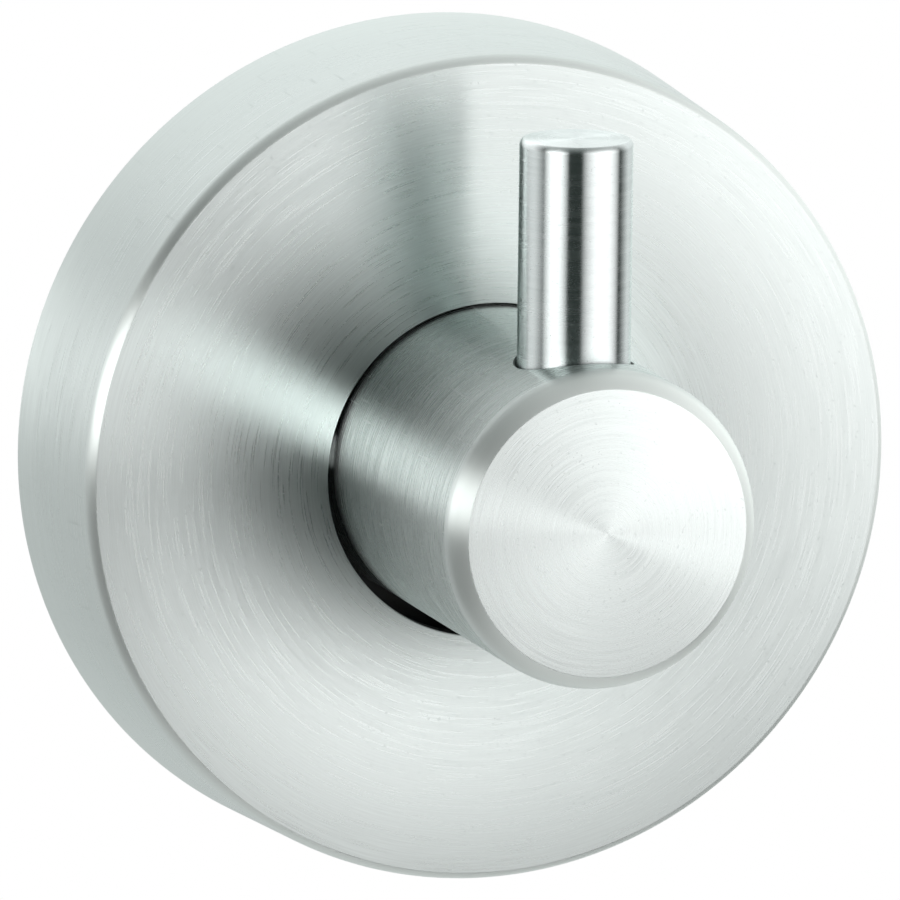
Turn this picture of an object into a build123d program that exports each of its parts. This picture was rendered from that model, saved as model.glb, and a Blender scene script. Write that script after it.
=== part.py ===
"""Wall-mounted coat hook: a post with an upright pin, and a round cover that hides its fixing.

Millimetres. The wall is the plane y = 0 and the hook stands out of it towards -Y, with +Z up.
The origin is on the wall, on the post's axis, midway between the two wall screws.
"""

from build123d import *
import math
import os

# Edges of the post and the pin: each is an arc in line with the side, cut off by the end face
# once it has turned this many degrees
edge_turn = 56.0

# Cover: a turned cup with a straight bore; outside, it is wider at the wall than at the front by the flare
cover_front_diameter = 52.2
cover_flare = 1.25
cover_depth = 13.3
cover_side_wall = 1.5
cover_front_wall = 1.5
cover_bevel_depth = 0.48
cover_bevel_length = 0.9
cover_hole_break = 0.12

# The cover hangs loose: its hole clears the post, and it sits a little lower than the post's axis
cover_hole_clearance = 0.55
cover_drop = 0.34
cover_seat_gap = 0.15

# Post: a round bar
post_diameter = 20.0
post_projection = 36.2
post_edge_radius = 2.3

# Pin: stands in a cross hole behind the post's face
pin_diameter = 7.0
pin_setback = 6.9
pin_rise = 13.4
pin_seat_depth = 12.0
pin_hole_clearance = 0.03
pin_hole_break = 0.25
pin_edge_radius = 0.55

# Wall plate: a dish pressed from sheet, whose rim stands inside the cover
plate_thickness = 1.5
plate_rim_height = 4.5
plate_inner_bevel = 0.8
wall_screw_spacing = 34.0
wall_screw_hole_diameter = 4.5

# Stud: a spigot riveted through the plate, with a groove for the set screw's point
stud_diameter = 10.0
stud_length = 9.5
stud_front_break = 0.6
stud_neck_diameter = 6.0
rivet_head_diameter = 7.4
rivet_head_depth = 0.8
stud_groove_depth = 0.8
stud_clearance = 0.04
socket_end_gap = 0.6

# Set screw: runs in from under the post and ends below its surface
set_screw_diameter = 5.0
set_screw_from_plate = 4.8
set_screw_thread_clearance = 0.03
set_screw_tip_diameter = 1.2
set_screw_point_gap = 0.05
set_screw_sink = 0.6
set_screw_key_width = 2.5
set_screw_key_depth = 2.0
set_screw_end_break = 0.3

# Places worked out from the sizes above
post_radius = post_diameter / 2
pin_radius = pin_diameter / 2
stud_radius = stud_diameter / 2
pin_from_wall = post_projection - pin_setback
pin_top = post_radius + pin_rise
pin_foot = post_radius - pin_seat_depth
set_screw_from_wall = plate_thickness + set_screw_from_plate
cover_hole_radius = post_radius + cover_hole_clearance
cover_bore_radius = cover_front_diameter / 2 - cover_side_wall
plate_radius = cover_bore_radius - cover_drop - cover_seat_gap


def turned(points, edge=None, breaks=()):
    """A solid turned about the Y axis from an outline of (radius, distance along -Y).

    edge is (corner, arc radius) for the corner at the end of a straight side that gets the cut-off arc.
    breaks are the corners to bevel, each as (corner, size).
    """
    outline = [Vector(radius, -along) for radius, along in points]
    with BuildPart() as part:
        with BuildSketch(Plane.XY) as sketch:
            with BuildLine():
                if edge:
                    corner, arc_radius = edge
                    at = points.index(corner)
                    side = (outline[at] - outline[at - 1]).normalized()
                    start = outline[at] - side * arc_radius * math.sin(math.radians(edge_turn))
                    Polyline(*outline[:at], start)
                    arc = JernArc(start, side, arc_radius, -edge_turn)
                    Polyline(arc @ 1, *outline[at + 1 :], outline[0])
                else:
                    Polyline(*outline, close=True)
            make_face()
            for (radius, along), size in breaks:
                chamfer(sketch.vertices().sort_by_distance((radius, -along))[0], size)
        revolve(axis=Axis.Y)
    return part.part


def upright_cylinder(radius, from_wall, low, high):
    """A round bar along Z, standing a given distance out from the wall."""
    place = Location((0, -from_wall, (low + high) / 2))
    return place * Cylinder(radius, high - low)


def cover_rosette():
    front = cover_front_diameter / 2
    back = front + cover_flare / 2
    inner_face = cover_depth - cover_front_wall
    bevel_radius = front + cover_flare / 2 * cover_bevel_length / cover_depth
    cup = turned(
        [
            (back, 0),
            (bevel_radius, cover_depth - cover_bevel_length),
            (front - cover_bevel_depth, cover_depth),
            (cover_hole_radius, cover_depth),
            (cover_hole_radius, inner_face),
            (cover_bore_radius, inner_face),
            (cover_bore_radius, 0),
        ],
        breaks=[((cover_hole_radius, cover_depth), cover_hole_break)],
    )
    return Pos(0, 0, -cover_drop) * cup


def hook_post():
    post = turned(
        [
            (0, plate_thickness),
            (post_radius, plate_thickness),
            (post_radius, post_projection),
            (0, post_projection),
        ],
        edge=((post_radius, post_projection), post_edge_radius),
    )
    socket_end = plate_thickness + stud_length + socket_end_gap
    socket_radius = stud_radius + stud_clearance
    post -= turned(
        [
            (0, plate_thickness),
            (socket_radius, plate_thickness),
            (socket_radius, socket_end),
            (0, socket_end),
        ]
    )
    screw_hole_radius = set_screw_diameter / 2 + set_screw_thread_clearance
    post -= upright_cylinder(screw_hole_radius, set_screw_from_wall, -2 * post_radius, 0)

    pin_hole_radius = pin_radius + pin_hole_clearance
    post -= upright_cylinder(pin_hole_radius, pin_from_wall, pin_foot, 2 * post_radius)
    # The hole's mouth is the highest edge on the post.
    mouth = post.edges().sort_by(Axis.Z)[-1]
    return chamfer(mouth, pin_hole_break)


def hook_pin():
    length = pin_top - pin_foot
    pin = turned(
        [(0, 0), (pin_radius, 0), (pin_radius, length), (0, length)],
        edge=((pin_radius, length), pin_edge_radius),
    )
    # Turned along -Y, then stood up
    return Pos(0, -pin_from_wall, pin_foot) * Rot(-90, 0, 0) * pin


def rivet_tail():
    """The stud's neck and its spread head, flush with the plate's back."""
    neck, head = stud_neck_diameter / 2, rivet_head_diameter / 2
    return turned(
        [(0, 0), (head, 0), (neck, rivet_head_depth), (neck, plate_thickness), (0, plate_thickness)]
    )


def wall_plate():
    inner = plate_radius - plate_thickness
    # The sheet keeps its thickness round the bend.
    outer_bevel = plate_inner_bevel + (2 - math.sqrt(2)) * plate_thickness
    dish = turned(
        [
            (0, 0),
            (plate_radius, 0),
            (plate_radius, plate_rim_height),
            (inner, plate_rim_height),
            (inner, plate_thickness),
            (0, plate_thickness),
        ],
        breaks=[
            ((plate_radius, 0), outer_bevel),
            ((inner, plate_thickness), plate_inner_bevel),
        ],
    )
    dish -= rivet_tail()
    for side in (-1, 1):
        hole = Cylinder(wall_screw_hole_diameter / 2, 3 * plate_thickness, rotation=(90, 0, 0))
        dish -= Pos(side * wall_screw_spacing / 2, -plate_thickness / 2, 0) * hole
    return dish


def mounting_stud():
    front = plate_thickness + stud_length
    groove_bottom = stud_radius - stud_groove_depth
    spigot = turned(
        [
            (0, plate_thickness),
            (stud_radius, plate_thickness),
            (stud_radius, set_screw_from_wall - stud_groove_depth),
            (groove_bottom, set_screw_from_wall),
            (stud_radius, set_screw_from_wall + stud_groove_depth),
            (stud_radius, front),
            (0, front),
        ],
        breaks=[((stud_radius, front), stud_front_break)],
    )
    return spigot + rivet_tail()


def set_screw():
    radius, tip = set_screw_diameter / 2, set_screw_tip_diameter / 2
    # The point's cone is as steep as the groove, so its end stands off the groove's floor by its own radius.
    point = stud_radius - stud_groove_depth + tip + set_screw_point_gap
    outer = post_radius - set_screw_sink
    screw = turned(
        [(0, point), (tip, point), (radius, point + radius - tip), (radius, outer), (0, outer)],
        breaks=[((radius, outer), set_screw_end_break)],
    )
    key = RegularPolygon(set_screw_key_width / 2, 6, major_radius=False)
    socket = extrude(Plane.XY.offset(-outer) * key, set_screw_key_depth)
    # Turned along -Y, then swung down under the post
    return Pos(0, -set_screw_from_wall, 0) * (Rot(90, 0, 0) * screw - socket)


parts = {
    "cover_rosette": cover_rosette(),
    "hook_post": hook_post(),
    "hook_pin": hook_pin(),
    "wall_plate": wall_plate(),
    "mounting_stud": mounting_stud(),
    "set_screw": set_screw(),
}

os.makedirs("parts", exist_ok=True)
for name, part in parts.items():
    export_step(part, f"parts/{name}.step")

cover_travel = pin_from_wall - pin_radius - cover_depth
print(f"The cover meets the pin after {cover_travel:.2f} mm of travel.")
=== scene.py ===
"""Looks of a wall-mounted coat hook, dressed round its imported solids.

Metres, in the solids' own frame: the wall is the plane y = 0, the hook stands out of it towards -Y
and +Z is up. The shown pieces are turned, drilled and finished here, one function for each.
"""

import math

import bmesh
import bpy
from mathutils import Matrix, Vector


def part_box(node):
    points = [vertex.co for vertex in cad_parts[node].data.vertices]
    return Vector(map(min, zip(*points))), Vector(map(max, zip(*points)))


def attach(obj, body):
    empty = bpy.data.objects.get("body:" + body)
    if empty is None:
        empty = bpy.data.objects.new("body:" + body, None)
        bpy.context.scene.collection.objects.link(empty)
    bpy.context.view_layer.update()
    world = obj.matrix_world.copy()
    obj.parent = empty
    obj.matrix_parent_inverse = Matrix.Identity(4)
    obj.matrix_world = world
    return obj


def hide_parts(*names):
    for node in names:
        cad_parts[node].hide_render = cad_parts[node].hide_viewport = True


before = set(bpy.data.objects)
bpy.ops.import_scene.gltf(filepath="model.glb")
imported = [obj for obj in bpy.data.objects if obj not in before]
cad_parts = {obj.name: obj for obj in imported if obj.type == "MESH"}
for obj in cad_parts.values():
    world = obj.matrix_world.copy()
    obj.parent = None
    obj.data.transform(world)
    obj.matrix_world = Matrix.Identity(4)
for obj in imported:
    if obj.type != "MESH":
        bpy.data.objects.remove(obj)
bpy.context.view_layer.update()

MM = 0.001

# Places and sizes that the solids give
cover_low, cover_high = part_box("cover_rosette")
post_low, post_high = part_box("hook_post")
pin_low, pin_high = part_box("hook_pin")
plate_low, plate_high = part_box("wall_plate")
stud_low, stud_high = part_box("mounting_stud")
screw_low, screw_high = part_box("set_screw")
cover_back_radius = (cover_high.x - cover_low.x) / 2
cover_depth = -cover_low.y
cover_axis_z = (cover_high.z + cover_low.z) / 2
post_radius = (post_high.x - post_low.x) / 2
post_end = -post_low.y
plate_thickness = -post_high.y
pin_radius = (pin_high.x - pin_low.x) / 2
pin_from_wall = -(pin_high.y + pin_low.y) / 2
plate_radius = (plate_high.x - plate_low.x) / 2
plate_rim_height = -plate_low.y
stud_radius = (stud_high.x - stud_low.x) / 2
stud_end = -stud_low.y
screw_radius = (screw_high.x - screw_low.x) / 2
screw_from_wall = -(screw_high.y + screw_low.y) / 2
screw_point = -screw_high.z
screw_end = -screw_low.z

# Sizes that their boxes don't show
cover_front_radius = 26.1 * MM
cover_edge_radius = 1.1 * MM
cover_bore_radius = 24.6 * MM
cover_front_wall = 1.5 * MM
cover_hole_radius = 10.55 * MM
cover_hole_break = 0.12 * MM
cover_mouth_break = 0.25 * MM
post_edge_radius = 2.3 * MM
pin_edge_radius = 0.55 * MM
edge_turn = math.radians(56)
lip_turn = math.radians(80)
crease_softness = 0.05 * MM
pin_hole_clearance = 0.03 * MM
pin_hole_break = 0.25 * MM
# Width of the ring of painted shade round the pin's foot on the post
pin_mouth_shade = 0.20 * MM
socket_radius = 5.04 * MM
socket_end = 11.6 * MM
screw_hole_radius = 2.53 * MM
screw_hole_break = 0.15 * MM
plate_bend_radius = 0.8 * MM
plate_rim_break = 0.15 * MM
wall_screw_spacing = 34.0 * MM
wall_screw_hole_radius = 2.25 * MM
rivet_neck_radius = 3.0 * MM
rivet_head_radius = 3.7 * MM
rivet_head_depth = 0.8 * MM
rivet_rim_break = 0.22 * MM
stud_groove_depth = 0.8 * MM
stud_front_break = 0.6 * MM
screw_tip_radius = 0.6 * MM
screw_end_break = 0.3 * MM
screw_pitch = 0.8 * MM
screw_thread_depth = 0.4 * MM
screw_key_width = 2.5 * MM
screw_key_depth = 2.0 * MM

# How far painted shade darkens the plate's face round the post, how far it takes to fade out beyond that, and
# how close to the face it stays
plate_shade_margin = 4.0 * MM
plate_shade_fade = 7.0 * MM
plate_face_margin = 0.1 * MM

# Fineness of the meshes
RING_POINTS = 384
HOLE_POINTS = 96
ARC_STEPS = 10
LIP_STEPS = 5
BEND_STEPS = 8

# Points closer than this lie on the same ring, and points closer than the second are one point
SAME_RING = 1e-6
SAME_POINT = 1e-7

# Light: how the steel sees the room in front of the hook, where the white backdrop is 1
room_radius = 2.0
room_tone = (0.023, 0.030, 0.027)
ceiling_tone = (0.23, 0.25, 0.245)

# Tones of the steel beside its brushed faces: eased edges, pits, and the painted shade that darkens the zones
# left dark
edge_tone = (0.905, 0.975, 0.945)
pit_tone = (0.86, 0.89, 0.88)
painted_shade_tone = (0.1, 0.1, 0.1)

# How much of its tone a pit gets, and how much rougher a scratch or a pit is
pit_share = 0.5
worn_roughness = 0.22

# The brush runs round the axis, a quarter turn from the radial tangent's own direction
brush_turn = 0.25

# Where the post's axis meets the wall, and the directions in which a piece is turned
WALL_CENTRE = Vector((0, 0, 0))
OUT_OF_WALL = Vector((0, -1, 0))
UP = Vector((0, 0, 1))
DOWN = Vector((0, 0, -1))


# Modelling

def edge_arc(radius, end, arc_radius):
    """Rings of an edge arc: it starts in line with the side and the end face cuts it off."""
    start = end - arc_radius * math.sin(edge_turn)
    angles = [edge_turn * step / ARC_STEPS for step in range(ARC_STEPS + 1)]
    return [(radius - arc_radius * (1 - math.cos(a)), start + arc_radius * math.sin(a)) for a in angles]


def turn_piece(name, rings, foot, direction, closed=False):
    """Turns a piece: a circle is pulled from ring to ring, each (radius, distance from the foot).

    A closed piece comes back to its first ring; otherwise both ends get a flat cap.
    """
    along_y = direction is OUT_OF_WALL
    bpy.ops.object.select_all(action="DESELECT")
    first_radius, first_along = rings[0]
    bpy.ops.mesh.primitive_circle_add(
        vertices=RING_POINTS,
        radius=first_radius,
        fill_type="NOTHING" if closed else "NGON",
        location=foot + direction * first_along,
        rotation=(math.pi / 2, 0, 0) if along_y else (0, 0, 0),
    )
    piece = bpy.context.object
    piece.name = name
    bpy.ops.object.transform_apply(location=True, rotation=True, scale=True)
    bpy.ops.object.mode_set(mode="EDIT")
    bpy.ops.mesh.select_mode(type="EDGE")
    bpy.ops.mesh.select_all(action="SELECT")
    steps = rings + rings[:1] if closed else rings
    for (radius, along), (next_radius, next_along) in zip(steps, steps[1:]):
        move = direction * (next_along - along)
        bpy.ops.mesh.extrude_edges_move(TRANSFORM_OT_translate={"value": move})
        ratio = next_radius / radius
        bpy.ops.transform.resize(
            value=(ratio, 1, ratio) if along_y else (ratio, ratio, 1),
            center_override=foot + direction * next_along,
        )
    if not closed:
        bpy.ops.mesh.edge_face_add()
    bpy.ops.mesh.select_all(action="SELECT")
    bpy.ops.mesh.remove_doubles(threshold=SAME_POINT)
    bpy.ops.mesh.normals_make_consistent(inside=False)
    bpy.ops.object.mode_set(mode="OBJECT")
    return piece


def soften_ring(piece, foot, direction, radius, along, width, segments=2):
    """Bevels the crease that runs round a turned piece at a ring."""
    bpy.ops.object.mode_set(mode="EDIT")
    bpy.ops.mesh.select_mode(type="EDGE")
    bpy.ops.mesh.select_all(action="DESELECT")
    mesh = bmesh.from_edit_mesh(piece.data)

    def on_ring(point):
        offset = point - foot
        height = offset.dot(direction)
        from_axis = (offset - direction * height).length
        return abs(height - along) < SAME_RING and abs(from_axis - radius) < SAME_RING

    for edge in mesh.edges:
        edge.select_set(all(on_ring(vertex.co) for vertex in edge.verts))
    bmesh.update_edit_mesh(piece.data)
    bpy.ops.mesh.bevel(offset=width, segments=segments, profile=0.5, affect="EDGES")
    bpy.ops.object.mode_set(mode="OBJECT")


def finish_shading(piece, angle=25):
    select_only(piece)
    bpy.ops.object.shade_smooth_by_angle(angle=math.radians(angle))


def select_only(piece):
    bpy.ops.object.select_all(action="DESELECT")
    piece.select_set(True)
    bpy.context.view_layer.objects.active = piece


def cut_away(piece, tool):
    """Cuts the tool's shape out of a piece and takes the tool away."""
    cut = piece.modifiers.new("cut", "BOOLEAN")
    cut.operation = "DIFFERENCE"
    cut.solver = "EXACT"
    cut.object = tool
    select_only(piece)
    bpy.ops.object.modifier_apply(modifier=cut.name)
    bpy.data.objects.remove(tool)


def drill_across(post, from_wall, hole_radius, bottom, mouth_break, direction):
    """Drills the post from above or below, with the hole's mouth rounded over where it meets the bar."""
    foot = Vector((0, -from_wall, 0))
    clear_of_bar = 2 * post_radius
    end_margin = 1.0 * MM
    mouth_radius = hole_radius + mouth_break
    rings = [(hole_radius, bottom)]
    for step in range(LIP_STEPS + 1):
        turn = lip_turn * step / LIP_STEPS
        out = mouth_break * (1 - math.cos(turn))
        drop = mouth_break * (1 - math.sin(turn))
        rings.append((hole_radius + out, post_radius - drop))
    rings += [(mouth_radius, post_radius + mouth_break), (mouth_radius, clear_of_bar)]
    tool = turn_piece("drill", rings, foot, direction)
    # The bar falls away to both sides of its crest, and the rounded lip follows it down.
    for vertex in tool.data.vertices:
        height = vertex.co.dot(direction)
        if bottom + end_margin < height < clear_of_bar - end_margin:
            fall = post_radius - math.sqrt(post_radius**2 - vertex.co.x**2)
            vertex.co -= direction * fall
    cut_away(post, tool)


# Pieces

def make_cover():
    foot = Vector((0, 0, cover_axis_z))
    slope = (cover_back_radius - cover_front_radius) / cover_depth
    arc = edge_arc(cover_front_radius, cover_depth, cover_edge_radius)
    arc_start = arc[0][1]
    side_top = cover_front_radius + slope * (cover_depth - arc_start)
    arc = [(radius + side_top - cover_front_radius, along) for radius, along in arc]
    inner_face = cover_depth - cover_front_wall
    rings = [
        (cover_bore_radius, 0),
        (cover_back_radius, 0),
        *arc,
        (cover_hole_radius, cover_depth),
        (cover_hole_radius, inner_face),
        (cover_bore_radius, inner_face),
    ]
    cover = turn_piece("cover_shell", rings, foot, OUT_OF_WALL, closed=True)
    soften_ring(cover, foot, OUT_OF_WALL, *arc[-1], crease_softness)
    soften_ring(cover, foot, OUT_OF_WALL, cover_hole_radius, cover_depth, cover_hole_break)
    soften_ring(cover, foot, OUT_OF_WALL, cover_back_radius, 0, cover_mouth_break)
    finish_shading(cover)
    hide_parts("cover_rosette")
    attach(cover, "sliding_cover")
    return cover


def make_post():
    foot = WALL_CENTRE
    arc = edge_arc(post_radius, post_end, post_edge_radius)
    rings = [
        (socket_radius, socket_end),
        (socket_radius, plate_thickness),
        (post_radius, plate_thickness),
        *arc,
    ]
    post = turn_piece("post_bar", rings, foot, OUT_OF_WALL)
    soften_ring(post, foot, OUT_OF_WALL, *arc[-1], crease_softness)
    drill_across(post, pin_from_wall, pin_radius + pin_hole_clearance, pin_low.z, pin_hole_break, UP)
    drill_across(post, screw_from_wall, screw_hole_radius, 0.0, screw_hole_break, DOWN)
    finish_shading(post)
    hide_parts("hook_post")
    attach(post, "hook")
    return post


def make_pin():
    foot = Vector((0, -pin_from_wall, pin_low.z))
    length = pin_high.z - pin_low.z
    arc = edge_arc(pin_radius, length, pin_edge_radius)
    pin = turn_piece("upright_pin", [(pin_radius, 0), *arc], foot, UP)
    soften_ring(pin, foot, UP, *arc[-1], crease_softness)
    finish_shading(pin)
    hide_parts("hook_pin")
    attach(pin, "hook")
    return pin


def quarter_bend(radius, along, bend_radius):
    """Rings of a bend that leaves a flat sheet outwards and ends along the rim; its centre is given."""
    angles = [math.pi / 2 * step / BEND_STEPS for step in range(BEND_STEPS + 1)]
    return [(radius + bend_radius * math.sin(a), along - bend_radius * math.cos(a)) for a in angles]


def make_wall_plate():
    """The pressed dish on the wall: its sheet keeps its thickness round the bend into the rim."""
    through_sheet = 4 * plate_thickness
    outer_bend = plate_bend_radius + plate_thickness
    bend_centre = (plate_radius - outer_bend, outer_bend)
    rings = [
        (rivet_head_radius, 0),
        *quarter_bend(*bend_centre, outer_bend),
        (plate_radius, plate_rim_height - plate_rim_break),
        (plate_radius - plate_rim_break, plate_rim_height),
        (plate_radius - plate_thickness + plate_rim_break, plate_rim_height),
        (plate_radius - plate_thickness, plate_rim_height - plate_rim_break),
        *reversed(quarter_bend(*bend_centre, plate_bend_radius)),
        (rivet_neck_radius, plate_thickness),
        (rivet_neck_radius, rivet_head_depth),
    ]
    plate = turn_piece("plate_dish", rings, WALL_CENTRE, OUT_OF_WALL, closed=True)
    for side in (-1, 1):
        bpy.ops.object.select_all(action="DESELECT")
        bpy.ops.mesh.primitive_cylinder_add(
            vertices=HOLE_POINTS,
            radius=wall_screw_hole_radius,
            depth=through_sheet,
            location=(side * wall_screw_spacing / 2, 0, 0),
            rotation=(math.pi / 2, 0, 0),
        )
        cut_away(plate, bpy.context.object)
    finish_shading(plate)
    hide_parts("wall_plate")
    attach(plate, "hook")
    return plate


def make_stud():
    """The spigot that carries the post: riveted at the back, with a groove for the set screw's point."""
    rivet_slope = (rivet_head_radius - rivet_neck_radius) / rivet_head_depth
    rings = [
        (rivet_head_radius - 2 * rivet_rim_break, 0),
        (rivet_head_radius - (1 + rivet_slope) * rivet_rim_break, rivet_rim_break / 4),
        (rivet_head_radius - rivet_slope * rivet_rim_break, rivet_rim_break),
        (rivet_neck_radius, rivet_head_depth),
        (rivet_neck_radius, plate_thickness),
        (stud_radius, plate_thickness),
        (stud_radius, screw_from_wall - stud_groove_depth),
        (stud_radius - stud_groove_depth, screw_from_wall),
        (stud_radius, screw_from_wall + stud_groove_depth),
        (stud_radius, stud_end - stud_front_break),
        (stud_radius - stud_front_break, stud_end),
    ]
    stud = turn_piece("grooved_stud", rings, WALL_CENTRE, OUT_OF_WALL)
    finish_shading(stud)
    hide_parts("mounting_stud")
    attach(stud, "hook")
    return stud


def make_set_screw():
    """The set screw under the post: a cone point, thread ridges and a hexagon socket."""
    foot = Vector((0, -screw_from_wall, 0))
    root = screw_radius - screw_thread_depth
    thread_start = screw_point + root - screw_tip_radius
    half_pitch = screw_pitch / 2
    half_crest = screw_pitch / 10
    rings = [(screw_tip_radius, screw_point), (root, thread_start)]
    crest = thread_start + half_pitch
    while crest + half_pitch < screw_end - screw_end_break:
        rings += [(screw_radius, crest - half_crest), (screw_radius, crest + half_crest)]
        rings.append((root, crest + half_pitch))
        crest += screw_pitch
    rings += [(screw_radius, screw_end - screw_end_break), (screw_radius - screw_end_break, screw_end)]
    screw = turn_piece("socket_screw", rings, foot, DOWN)
    bpy.ops.object.select_all(action="DESELECT")
    bpy.ops.mesh.primitive_cylinder_add(
        vertices=6,
        radius=screw_key_width / math.sqrt(3),
        depth=2 * screw_key_depth,
        location=foot + DOWN * screw_end,
    )
    cut_away(screw, bpy.context.object)
    finish_shading(screw)
    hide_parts("set_screw")
    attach(screw, "hook")
    return screw


# Materials

class Nodes:
    """Short ways to add and wire nodes in a tree."""

    def __init__(self, tree):
        self.tree = tree

    def add(self, kind, **settings):
        node = self.tree.nodes.new(kind)
        for name, value in settings.items():
            setattr(node, name, value)
        return node

    def link(self, source, target):
        self.tree.links.new(source, target)

    def feed(self, socket, value):
        if isinstance(value, bpy.types.NodeSocket):
            self.link(value, socket)
        else:
            socket.default_value = value

    def math(self, operation, a, b=0.0):
        node = self.add("ShaderNodeMath", operation=operation)
        self.feed(node.inputs[0], a)
        self.feed(node.inputs[1], b)
        return node.outputs[0]

    def ramp(self, value, start, end, low=0.0, high=1.0):
        """Goes evenly from low to high while the value goes from start to end."""
        node = self.add("ShaderNodeMapRange")
        self.link(value, node.inputs["Value"])
        for label, number in (("From Min", start), ("From Max", end), ("To Min", low), ("To Max", high)):
            node.inputs[label].default_value = number
        return node.outputs["Result"]


def new_group(name, inputs, outputs):
    """A shader node group with named sockets: each input is (name, kind, value), each output (name, kind)."""
    group = bpy.data.node_groups.new(name, "ShaderNodeTree")
    for label, kind, value in inputs:
        socket = group.interface.new_socket(label, in_out="INPUT", socket_type="NodeSocket" + kind)
        if value is not None:
            socket.default_value = value
    for label, kind in outputs:
        group.interface.new_socket(label, in_out="OUTPUT", socket_type="NodeSocket" + kind)
    n = Nodes(group)
    return n, n.add("NodeGroupInput").outputs, n.add("NodeGroupOutput").inputs


def brushed_rings_group():
    """Marks of a brush held on a turning piece: streaks that run round the Y axis, each a little askew."""
    valley = 0.28
    crest = 0.72
    n, given, result = new_group(
        "brushed_rings",
        [
            ("Vector", "Vector", None),
            ("Lines per metre", "Float", 2600.0),
            ("Breaks per metre", "Float", 90.0),
            ("Waver", "Float", 0.03),
        ],
        [("Streaks", "Float"), ("Normal", "Vector")],
    )
    split = n.add("ShaderNodeSeparateXYZ")
    n.link(given["Vector"], split.inputs[0])
    x, y, z = split.outputs
    squared = n.math("ADD", n.math("MULTIPLY", x, x), n.math("MULTIPLY", z, z))
    radius = n.math("MAXIMUM", n.math("SQRT", squared), SAME_RING)
    over = n.math("DIVIDE", x, radius)
    up = n.math("DIVIDE", z, radius)
    place = n.add("ShaderNodeCombineXYZ")
    n.link(n.math("MULTIPLY", n.math("SUBTRACT", radius, y), given["Lines per metre"]), place.inputs[0])
    n.link(n.math("MULTIPLY", x, given["Breaks per metre"]), place.inputs[1])
    n.link(n.math("MULTIPLY", z, given["Breaks per metre"]), place.inputs[2])
    noise = n.add("ShaderNodeTexNoise", noise_dimensions="3D")
    noise.inputs["Scale"].default_value = 1.0
    noise.inputs["Detail"].default_value = 2.0
    noise.inputs["Roughness"].default_value = 0.7
    n.link(place.outputs[0], noise.inputs["Vector"])
    n.link(n.ramp(noise.outputs["Fac"], valley, crest), result["Streaks"])

    round_axis = n.add("ShaderNodeCombineXYZ")
    n.link(up, round_axis.inputs[0])
    n.link(n.math("MULTIPLY", over, -1.0), round_axis.inputs[2])
    channels = n.add("ShaderNodeSeparateColor")
    n.link(noise.outputs["Color"], channels.inputs[0])
    lean = n.math("MULTIPLY", n.math("SUBTRACT", channels.outputs["Green"], 0.5), given["Waver"])
    tilt = n.add("ShaderNodeVectorMath", operation="SCALE")
    n.link(round_axis.outputs[0], tilt.inputs[0])
    n.link(lean, tilt.inputs["Scale"])
    tilted = n.add("ShaderNodeVectorMath", operation="ADD")
    n.link(n.add("ShaderNodeNewGeometry").outputs["Normal"], tilted.inputs[0])
    n.link(tilt.outputs[0], tilted.inputs[1])
    unit = n.add("ShaderNodeVectorMath", operation="NORMALIZE")
    n.link(tilted.outputs[0], unit.inputs[0])
    n.link(unit.outputs[0], result["Normal"])
    return n.tree


def handling_marks_group():
    """Sparse marks of handling: short thin scratches that lie askew, and small pits."""
    scratch_turns = ((0.3, 0.9, 0.5), (1.1, -0.4, 2.0))
    scratch_stretch = (1, 0.05, 1)
    scratch_start = 0.76
    scratch_full = 0.84
    pit_rim = 0.06
    pit_floor = 0.03
    cells_without_pit = 0.6
    n, given, result = new_group(
        "handling_marks",
        [
            ("Vector", "Vector", None),
            ("Scratches per metre", "Float", 5200.0),
            ("Pits per metre", "Float", 420.0),
        ],
        [("Scratches", "Float"), ("Pits", "Float")],
    )
    layers = []
    for turn in scratch_turns:
        turned = n.add("ShaderNodeMapping")
        turned.inputs["Rotation"].default_value = turn
        turned.inputs["Scale"].default_value = scratch_stretch
        n.link(given["Vector"], turned.inputs["Vector"])
        noise = n.add("ShaderNodeTexNoise", noise_dimensions="3D")
        noise.inputs["Detail"].default_value = 0.0
        n.link(given["Scratches per metre"], noise.inputs["Scale"])
        n.link(turned.outputs[0], noise.inputs["Vector"])
        layers.append(n.ramp(noise.outputs["Fac"], scratch_start, scratch_full))
    n.link(n.math("MAXIMUM", *layers), result["Scratches"])

    cells = n.add("ShaderNodeTexVoronoi", feature="F1")
    n.link(given["Pits per metre"], cells.inputs["Scale"])
    n.link(given["Vector"], cells.inputs["Vector"])
    spot = n.ramp(cells.outputs["Distance"], pit_rim, pit_floor)
    channels = n.add("ShaderNodeSeparateColor")
    n.link(cells.outputs["Color"], channels.inputs[0])
    chosen = n.math("GREATER_THAN", channels.outputs["Red"], cells_without_pit)
    n.link(n.math("MULTIPLY", spot, chosen), result["Pits"])
    return n.tree


def edge_mask(n):
    """1 on an eased edge, where the surface faces neither out of the wall nor straight to the side."""
    side = 0.06
    eased = 0.5
    still_eased = 0.90
    face = 0.98
    split = n.add("ShaderNodeSeparateXYZ")
    n.link(n.add("ShaderNodeNewGeometry").outputs["Normal"], split.inputs[0])
    facing = n.math("ABSOLUTE", split.outputs["Y"])
    return n.math("MULTIPLY", n.ramp(facing, side, eased), n.ramp(facing, face, still_eased))


def painted_shade_ring(n, place, radius, fade, near, far):
    """1 round the Y axis out to a radius, fading out beyond it, and between two distances from the wall:
    where shade is painted.
    """
    split = n.add("ShaderNodeSeparateXYZ")
    n.link(place, split.inputs[0])
    x, y, z = split.outputs
    squared = n.math("ADD", n.math("MULTIPLY", x, x), n.math("MULTIPLY", z, z))
    between = n.math("MULTIPLY", n.math("LESS_THAN", y, -near), n.math("GREATER_THAN", y, -far))
    inside = n.ramp(n.math("SQRT", squared), radius, radius + fade, 1.0, 0.0)
    return n.math("MULTIPLY", inside, between)


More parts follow.
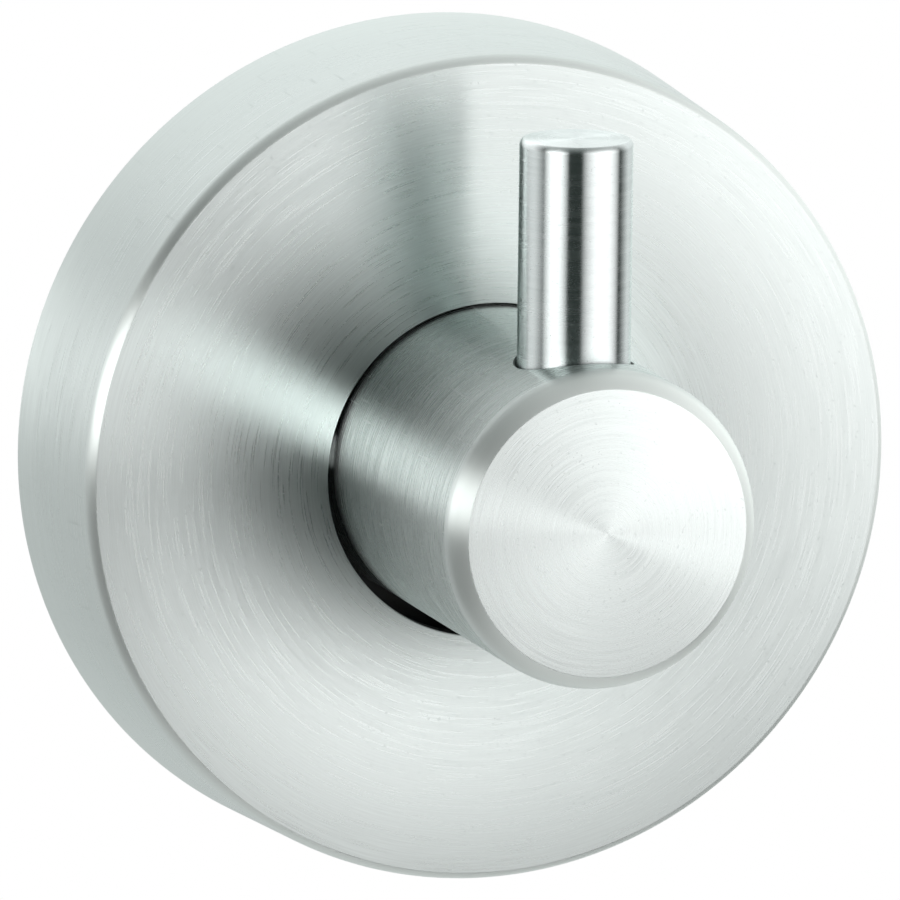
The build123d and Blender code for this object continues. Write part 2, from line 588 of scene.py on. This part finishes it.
def painted_shade_mouth(n, place, radius, from_wall):
    """1 at the mouth of a hole in the top, out to a radius round its upright axis: a ring of painted shade.
    """
    split = n.add("ShaderNodeSeparateXYZ")
    n.link(place, split.inputs[0])
    x, y, z = split.outputs
    out = n.math("ADD", y, from_wall)
    squared = n.math("ADD", n.math("MULTIPLY", x, x), n.math("MULTIPLY", out, out))
    inside = n.math("LESS_THAN", squared, radius**2)
    on_top = n.math("GREATER_THAN", z, 0.0)
    return n.math("MULTIPLY", inside, on_top)


def steel(
    name,
    groups,
    tones,
    roughness,
    axis=None,
    along="Y",
    lines=2600.0,
    breaks=90.0,
    waver=0.0,
    anisotropic=0.0,
    marks=1.0,
    edge_roughness=None,
    grazing=(0.89, 0.93, 0.92),
    painted_shade=None,
):
    """Stainless steel with turned or brushed rings round an axis, and marks of handling.

    tones and roughness are each a pair: in the valleys and on the crests of the streaks.
    grazing is the tint of what the steel mirrors at a grazing angle.
    The last argument is where shade is painted into the colour, darkening it: the function of its mask and
    the sizes that it takes.
    """
    rings_group, marks_group = groups
    material = bpy.data.materials.new(name)
    material.use_nodes = True
    n = Nodes(material.node_tree)
    shader = material.node_tree.nodes["Principled BSDF"]
    place = n.add("ShaderNodeTexCoord").outputs["Object"]
    centred = n.add("ShaderNodeVectorMath", operation="SUBTRACT")
    n.link(place, centred.inputs[0])
    centred.inputs[1].default_value = axis or (0, 0, 0)
    if along == "Z":
        # The streaks run round Y in their group, so an upright piece is laid down for them.
        laid = n.add("ShaderNodeMapping")
        laid.inputs["Rotation"].default_value = (math.pi / 2, 0, 0)
        n.link(centred.outputs[0], laid.inputs["Vector"])
        centred = laid
    rings = n.add("ShaderNodeGroup", node_tree=rings_group)
    n.link(centred.outputs[0], rings.inputs["Vector"])
    rings.inputs["Lines per metre"].default_value = lines
    rings.inputs["Breaks per metre"].default_value = breaks
    rings.inputs["Waver"].default_value = waver
    handling = n.add("ShaderNodeGroup", node_tree=marks_group)
    n.link(place, handling.inputs["Vector"])
    scratched = n.math("MULTIPLY", handling.outputs["Scratches"], marks)
    pitted = n.math("MULTIPLY", handling.outputs["Pits"], marks)

    tone = n.add("ShaderNodeMix", data_type="RGBA")
    n.link(rings.outputs["Streaks"], tone.inputs["Factor"])
    tone.inputs["A"].default_value = (*tones[0], 1)
    tone.inputs["B"].default_value = (*tones[1], 1)
    worn = n.add("ShaderNodeMix", data_type="RGBA")
    n.link(n.math("MULTIPLY", pitted, pit_share), worn.inputs["Factor"])
    n.link(tone.outputs["Result"], worn.inputs["A"])
    worn.inputs["B"].default_value = (*pit_tone, 1)
    colour = worn.outputs["Result"]
    if edge_roughness:
        eased = edge_mask(n)
        polished = n.add("ShaderNodeMix", data_type="RGBA")
        n.link(eased, polished.inputs["Factor"])
        n.link(colour, polished.inputs["A"])
        polished.inputs["B"].default_value = (*edge_tone, 1)
        colour = polished.outputs["Result"]
    # Painted shade: the mask darkens the colour where shade falls in holes and round parts.
    if painted_shade:
        shade_mix = n.add("ShaderNodeMix", data_type="RGBA", blend_type="MULTIPLY")
        mask, *sizes = painted_shade
        n.link(mask(n, centred.outputs[0], *sizes), shade_mix.inputs["Factor"])
        n.link(colour, shade_mix.inputs["A"])
        shade_mix.inputs["B"].default_value = (*painted_shade_tone, 1)
        colour = shade_mix.outputs["Result"]
    n.link(colour, shader.inputs["Base Color"])

    rough = n.ramp(rings.outputs["Streaks"], 0.0, 1.0, *roughness)
    damage = n.math("MULTIPLY", n.math("MAXIMUM", scratched, pitted), worn_roughness)
    worn_rough = n.math("ADD", rough, damage)
    if edge_roughness:
        finish = n.add("ShaderNodeMix", data_type="FLOAT")
        n.link(eased, finish.inputs["Factor"])
        n.link(worn_rough, finish.inputs["A"])
        finish.inputs["B"].default_value = edge_roughness
        worn_rough = finish.outputs["Result"]
    n.link(worn_rough, shader.inputs["Roughness"])

    shader.inputs["Metallic"].default_value = 1.0
    shader.inputs["Specular Tint"].default_value = (*grazing, 1)
    if anisotropic:
        brush = n.add("ShaderNodeTangent", direction_type="RADIAL", axis=along)
        n.link(brush.outputs[0], shader.inputs["Tangent"])
        shader.inputs["Anisotropic"].default_value = anisotropic
        shader.inputs["Anisotropic Rotation"].default_value = brush_turn
    if waver:
        n.link(rings.outputs["Normal"], shader.inputs["Normal"])
    return material


def dress(piece, material):
    piece.data.materials.clear()
    piece.data.materials.append(material)


# Stage, light and camera

def make_floor():
    """A pale floor under the hook that goes over into the white backdrop for the camera."""
    floor_size = 0.9
    floor_drop = 0.15
    floor_tone = (0.85, 0.85, 0.85)
    white_near = 0.75
    near = 0.12
    far = 0.40
    bpy.ops.object.select_all(action="DESELECT")
    bpy.ops.mesh.primitive_plane_add(size=floor_size, location=(0, 0, -floor_drop))
    floor = bpy.context.object
    floor.name = "floor"
    material = bpy.data.materials.new("pale_floor")
    material.use_nodes = True
    n = Nodes(material.node_tree)
    surface = material.node_tree.nodes["Principled BSDF"]
    surface.inputs["Base Color"].default_value = (*floor_tone, 1)
    surface.inputs["Roughness"].default_value = 0.7
    # The camera sees it nearly as white as the backdrop, with the hook's shadow left on it near the hook.
    white = n.add("ShaderNodeEmission")
    away = n.add("ShaderNodeVectorMath", operation="LENGTH")
    n.link(n.add("ShaderNodeTexCoord").outputs["Object"], away.inputs[0])
    whiteness = n.ramp(away.outputs["Value"], near, far, white_near, 1.0)
    camera_ray = n.add("ShaderNodeLightPath").outputs["Is Camera Ray"]
    lifted = n.add("ShaderNodeMixShader")
    n.link(n.math("MULTIPLY", camera_ray, whiteness), lifted.inputs[0])
    n.link(surface.outputs[0], lifted.inputs[1])
    n.link(white.outputs[0], lifted.inputs[2])
    # From below it can't be seen, so that it hides nothing there.
    shown = n.add("ShaderNodeMixShader")
    n.link(n.add("ShaderNodeNewGeometry").outputs["Backfacing"], shown.inputs[0])
    n.link(lifted.outputs[0], shown.inputs[1])
    n.link(n.add("ShaderNodeBsdfTransparent").outputs[0], shown.inputs[2])
    n.link(shown.outputs[0], material.node_tree.nodes["Material Output"].inputs["Surface"])
    dress(floor, material)
    floor.visible_glossy = False


def make_world():
    """A white backdrop, which lights the hook less than it shows."""
    fill_light = 0.6
    world = bpy.data.worlds.new("white_studio")
    world.use_nodes = True
    # Light from it comes only along the traced rays, so the dim room stands before it for the steel.
    world.cycles.sampling_method = "NONE"
    bpy.context.scene.world = world
    n = Nodes(world.node_tree)
    light = world.node_tree.nodes["Background"]
    light.inputs["Color"].default_value = (1, 1, 1, 1)
    light.inputs["Strength"].default_value = fill_light
    backdrop = n.add("ShaderNodeBackground")
    backdrop.inputs["Color"].default_value = (1, 1, 1, 1)
    backdrop.inputs["Strength"].default_value = 1.0
    path = n.add("ShaderNodeLightPath")
    seen = n.math("MAXIMUM", path.outputs["Is Camera Ray"], path.outputs["Is Glossy Ray"])
    seen = n.math("MAXIMUM", seen, path.outputs["Is Transmission Ray"])
    mix = n.add("ShaderNodeMixShader")
    n.link(seen, mix.inputs[0])
    n.link(light.outputs[0], mix.inputs[1])
    n.link(backdrop.outputs[0], mix.inputs[2])
    n.link(mix.outputs[0], world.node_tree.nodes["World Output"].inputs["Surface"])


def heading(azimuth, elevation):
    """Direction from the hook: azimuth from straight out of the wall, positive to the right, in degrees."""
    a, e = math.radians(azimuth), math.radians(elevation)
    return Vector((math.sin(a) * math.cos(e), -math.cos(a) * math.cos(e), math.sin(e)))


def softbox(name, azimuth, elevation, wide, high, radiance, colour):
    """A soft box that faces the hook, brightest in its middle; wide and high are the angles that it fills."""
    distance = 0.8
    light = bpy.data.lights.new(name, "AREA")
    light.shape = "RECTANGLE"
    light.size = 2 * distance * math.tan(math.radians(wide / 2))
    light.size_y = 2 * distance * math.tan(math.radians(high / 2))
    light.energy = radiance * math.pi * light.size * light.size_y
    light.color = colour
    light.use_nodes = True
    n = Nodes(light.node_tree)
    split = n.add("ShaderNodeSeparateXYZ")
    n.link(n.add("ShaderNodeNewGeometry").outputs["Parametric"], split.inputs[0])
    fades = []
    for across in split.outputs[:2]:
        # From 0 at one edge to 1 at the other: 4 x (1 - x) is 1 in the middle.
        fades.append(n.math("MULTIPLY", n.math("MULTIPLY", across, 4.0), n.math("SUBTRACT", 1.0, across)))
    n.link(n.math("MULTIPLY", *fades), light.node_tree.nodes["Emission"].inputs["Strength"])
    holder = bpy.data.objects.new(name, light)
    bpy.context.scene.collection.objects.link(holder)
    direction = heading(azimuth, elevation)
    holder.location = direction * distance
    holder.rotation_euler = direction.to_track_quat("Z", "Y").to_euler()
    holder.visible_camera = False


def make_dim_room():
    """The dim part of the studio, where the camera stands; only the steel mirrors it.

    It is a ball that thins out behind the hook, so that the steel sees the white backdrop through it there.
    """
    # Measures along the axes of a ball of radius 1: y is behind the hook and z above it
    open_from = -0.2
    open_to = 0.3
    corner_reach = 0.6
    corner_opening = 0.15
    ground_from = -0.65
    ground_to = -0.9
    ground_lift = 0.35
    level_margin = 0.1
    share_below = 0.80
    ceiling_from = 0.45
    ceiling_to = 0.8
    bpy.ops.object.select_all(action="DESELECT")
    bpy.ops.mesh.primitive_uv_sphere_add(segments=64, ring_count=32, radius=room_radius)
    room = bpy.context.object
    room.name = "dim_room"
    material = bpy.data.materials.new("dim_room")
    material.use_nodes = True
    n = Nodes(material.node_tree)
    direction = n.add("ShaderNodeVectorMath", operation="NORMALIZE")
    n.link(n.add("ShaderNodeTexCoord").outputs["Object"], direction.inputs[0])
    split = n.add("ShaderNodeSeparateXYZ")
    n.link(direction.outputs[0], split.inputs[0])
    x, y, z = split.outputs
    # The room reaches further back at the upper left and lower right, and less far at the lower left.
    corner = n.math("MULTIPLY", x, z)
    lower_corner = n.math("MULTIPLY", corner, n.math("LESS_THAN", z, 0.0))
    closed = n.math("MULTIPLY", corner, corner_reach)
    opened = n.math("MULTIPLY", lower_corner, corner_opening)
    behind = n.math("ADD", y, n.math("MINIMUM", closed, opened))
    # The white ground comes further forward under the hook.
    behind = n.math("ADD", behind, n.ramp(z, ground_from, ground_to, 0.0, ground_lift))
    open_back = n.ramp(behind, open_from, open_to)
    dimmer_below = n.ramp(z, -level_margin, level_margin, share_below, 1.0)
    ceiling = n.add("ShaderNodeMix", data_type="RGBA")
    n.link(n.ramp(z, ceiling_from, ceiling_to), ceiling.inputs["Factor"])
    ceiling.inputs["A"].default_value = (*room_tone, 1)
    ceiling.inputs["B"].default_value = (*ceiling_tone, 1)
    glow = n.add("ShaderNodeEmission")
    n.link(ceiling.outputs["Result"], glow.inputs["Color"])
    mix = n.add("ShaderNodeMixShader")
    n.link(n.math("MULTIPLY", open_back, dimmer_below), mix.inputs[0])
    n.link(glow.outputs[0], mix.inputs[1])
    n.link(n.add("ShaderNodeBsdfTransparent").outputs[0], mix.inputs[2])
    n.link(mix.outputs[0], material.node_tree.nodes["Material Output"].inputs["Surface"])
    dress(room, material)
    room.visible_camera = False
    room.visible_diffuse = False
    room.visible_shadow = False


def make_camera():
    """Camera of the photograph's view, for a square frame."""
    azimuth = -18.417
    elevation = 10.994
    roll = math.radians(0.684)
    target = Vector((1.822, 0, -1.673)) * MM
    distance = 1233.5 * MM
    back = heading(azimuth, elevation)
    right = UP.cross(back).normalized()
    up = back.cross(right)
    rolled_right = right * math.cos(roll) + up * math.sin(roll)
    rolled_up = up * math.cos(roll) - right * math.sin(roll)
    data = bpy.data.cameras.new("camera")
    data.sensor_width = 36
    data.lens = 783.9
    data.clip_start = 0.05
    data.clip_end = 20
    camera = bpy.data.objects.new("camera", data)
    bpy.context.scene.collection.objects.link(camera)
    turn = Matrix((rolled_right, rolled_up, back)).transposed().to_4x4()
    camera.matrix_world = Matrix.Translation(target + back * distance) @ turn
    bpy.context.scene.camera = camera


cover = make_cover()
post = make_post()
pin = make_pin()
plate = make_wall_plate()
stud = make_stud()
screw = make_set_screw()

groups = (brushed_rings_group(), handling_marks_group())
satin = {
    "lines": 8500.0,
    "breaks": 200.0,
    "waver": 0.03,
    "anisotropic": 1.0,
    "marks": 0.25,
}
dress(cover, steel(
    "satin_cover",
    groups,
    tones=((0.625, 0.679, 0.664), (0.735, 0.799, 0.781)),
    roughness=(0.25, 0.345),
    axis=(0, 0, cover_axis_z),
    edge_roughness=0.40,
    # Painted shade on the wall of the hole round the post, where the gap lies in shadow
    painted_shade=(painted_shade_ring, cover_hole_radius, crease_softness, 0.0, cover_depth - cover_hole_break),
    **satin,
))
dress(post, steel(
    "satin_post",
    groups,
    tones=((0.645, 0.70, 0.685), (0.795, 0.86, 0.842)),
    roughness=(0.22, 0.32),
    edge_roughness=0.50,
    grazing=(0.72, 0.77, 0.76),
    # Painted shade round the pin's foot on the post, standing in for its contact shadow
    painted_shade=(painted_shade_mouth, pin_radius + pin_hole_clearance + pin_mouth_shade, pin_from_wall),
    **satin,
))
dress(pin, steel(
    "polished_pin",
    groups,
    tones=((0.695, 0.755, 0.748), (0.80, 0.86, 0.853)),
    roughness=(0.22, 0.30),
    axis=(0, -pin_from_wall, 0),
    along="Z",
    anisotropic=1.0,
    marks=0.2,
))
dress(plate, steel(
    "pressed_plate",
    groups,
    tones=((0.53, 0.56, 0.55), (0.65, 0.68, 0.67)),
    roughness=(0.34, 0.44),
    lines=5200.0,
    breaks=160.0,
    # Painted shade on the plate's face round the post, standing in for the shadow inside the cover
    painted_shade=(
        painted_shade_ring,
        post_radius + plate_shade_margin,
        plate_shade_fade,
        plate_thickness - plate_face_margin,
        plate_thickness + plate_face_margin,
    ),
))
dress(stud, steel(
    "turned_stud",
    groups,
    tones=((0.54, 0.57, 0.56), (0.72, 0.75, 0.74)),
    roughness=(0.26, 0.40),
    anisotropic=0.8,
))
dress(screw, steel(
    "screw_steel",
    groups,
    tones=((0.40, 0.42, 0.42), (0.56, 0.58, 0.58)),
    roughness=(0.28, 0.42),
    axis=(0, -screw_from_wall, 0),
    along="Z",
))

make_floor()
make_world()
make_dim_room()
softbox(
    "left_softbox",
    azimuth=-58,
    elevation=7,
    wide=53,
    high=32,
    radiance=4.75,
    colour=(1.0, 0.985, 0.987),
)
softbox(
    "right_softbox",
    azimuth=36,
    elevation=4.5,
    wide=86,
    high=68,
    radiance=2.2,
    colour=(1.0, 0.97, 0.975),
)
softbox(
    "back_softbox",
    azimuth=180,
    elevation=34,
    wide=80,
    high=40,
    radiance=0.7,
    colour=(1.0, 0.975, 0.98),
)
make_camera()
bpy.context.scene.view_settings.view_transform = "Standard"
